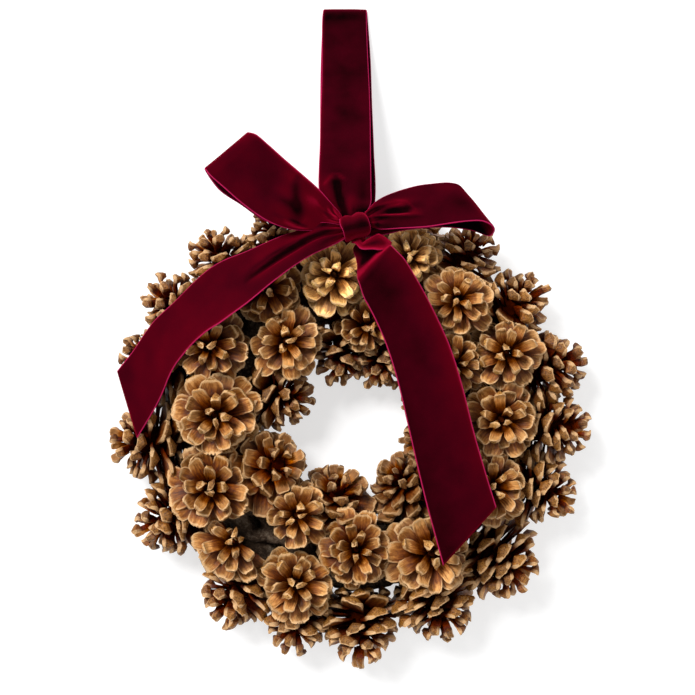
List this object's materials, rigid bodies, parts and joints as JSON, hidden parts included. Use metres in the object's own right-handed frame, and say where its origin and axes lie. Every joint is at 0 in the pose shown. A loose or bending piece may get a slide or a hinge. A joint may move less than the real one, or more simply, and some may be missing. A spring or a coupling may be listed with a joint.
{
  "type": "pinecone wreath",
  "caption": "Round wreath of open pine cones on a bark-covered ring, with a dark red velvet ribbon bow, long tails and a hanging loop.",
  "frame": {"origin": "bottom centre of the whole wreath's bounding box, hanging loop included, on the surface the wreath lies on", "axes": "+Z out of the wreath's front, +Y towards the top of the hanging loop, +X to the right seen from the front"},
  "size_m": [0.354, 0.4862, 0.1116],
  "materials": {
    "base_ring": "rough dark bark",
    "outer_cone_01": "open woody scales, matt",
    "outer_cone_02": "open woody scales, matt",
    "outer_cone_03": "open woody scales, matt",
    "outer_cone_04": "open woody scales, matt",
    "outer_cone_05": "open woody scales, matt",
    "outer_cone_06": "open woody scales, matt",
    "outer_cone_07": "open woody scales, matt",
    "outer_cone_08": "open woody scales, matt",
    "outer_cone_09": "open woody scales, matt",
    "outer_cone_10": "open woody scales, matt",
    "outer_cone_11": "open woody scales, matt",
    "outer_cone_12": "open woody scales, matt",
    "outer_cone_13": "open woody scales, matt",
    "outer_cone_14": "open woody scales, matt",
    "outer_cone_15": "open woody scales, matt",
    "outer_cone_16": "open woody scales, matt",
    "outer_cone_17": "open woody scales, matt",
    "front_cone_01": "open woody scales, matt",
    "front_cone_02": "open woody scales, matt",
    "front_cone_03": "open woody scales, matt",
    "front_cone_04": "open woody scales, matt",
    "front_cone_05": "open woody scales, matt",
    "front_cone_06": "open woody scales, matt",
    "front_cone_07": "open woody scales, matt",
    "front_cone_08": "open woody scales, matt",
    "front_cone_09": "open woody scales, matt",
    "front_cone_10": "open woody scales, matt",
    "front_cone_11": "open woody scales, matt",
    "front_cone_12": "open woody scales, matt",
    "front_cone_13": "open woody scales, matt",
    "front_cone_14": "open woody scales, matt",
    "front_cone_15": "open woody scales, matt",
    "front_cone_16": "open woody scales, matt",
    "front_cone_17": "open woody scales, matt",
    "front_cone_18": "open woody scales, matt",
    "inner_cone_01": "open woody scales, matt",
    "inner_cone_02": "open woody scales, matt",
    "inner_cone_03": "open woody scales, matt",
    "inner_cone_04": "open woody scales, matt",
    "inner_cone_05": "open woody scales, matt",
    "inner_cone_06": "open woody scales, matt",
    "inner_cone_07": "open woody scales, matt",
    "inner_cone_08": "open woody scales, matt",
    "hanging_loop": "velvet pile",
    "bow_loop_left": "velvet pile",
    "bow_loop_right": "velvet pile",
    "bow_knot": "velvet pile",
    "ribbon_tail_left": "velvet pile",
    "ribbon_tail_right": "velvet pile"
  },
  "bodies": {
    "root": {"base_ring": "base_ring", "outer_cone_01": "outer_cone_01", "outer_cone_02": "outer_cone_02", "outer_cone_03": "outer_cone_03", "outer_cone_04": "outer_cone_04", "outer_cone_05": "outer_cone_05", "outer_cone_06": "outer_cone_06", "outer_cone_07": "outer_cone_07", "outer_cone_08": "outer_cone_08", "outer_cone_09": "outer_cone_09", "outer_cone_10": "outer_cone_10", "outer_cone_11": "outer_cone_11", "outer_cone_12": "outer_cone_12", "outer_cone_13": "outer_cone_13", "outer_cone_14": "outer_cone_14", "outer_cone_15": "outer_cone_15", "outer_cone_16": "outer_cone_16", "outer_cone_17": "outer_cone_17", "front_cone_01": "front_cone_01", "front_cone_02": "front_cone_02", "front_cone_03": "front_cone_03", "front_cone_04": "front_cone_04", "front_cone_05": "front_cone_05", "front_cone_06": "front_cone_06", "front_cone_07": "front_cone_07", "front_cone_08": "front_cone_08", "front_cone_09": "front_cone_09", "front_cone_10": "front_cone_10", "front_cone_11": "front_cone_11", "front_cone_12": "front_cone_12", "front_cone_13": "front_cone_13", "front_cone_14": "front_cone_14", "front_cone_15": "front_cone_15", "front_cone_16": "front_cone_16", "front_cone_17": "front_cone_17", "front_cone_18": "front_cone_18", "inner_cone_01": "inner_cone_01", "inner_cone_02": "inner_cone_02", "inner_cone_03": "inner_cone_03", "inner_cone_04": "inner_cone_04", "inner_cone_05": "inner_cone_05", "inner_cone_06": "inner_cone_06", "inner_cone_07": "inner_cone_07", "inner_cone_08": "inner_cone_08", "hanging_loop": "hanging_loop", "bow_loop_left": "bow_loop_left", "bow_loop_right": "bow_loop_right", "bow_knot": "bow_knot", "ribbon_tail_left": "ribbon_tail_left", "ribbon_tail_right": "ribbon_tail_right"}
  },
  "joints": []
}
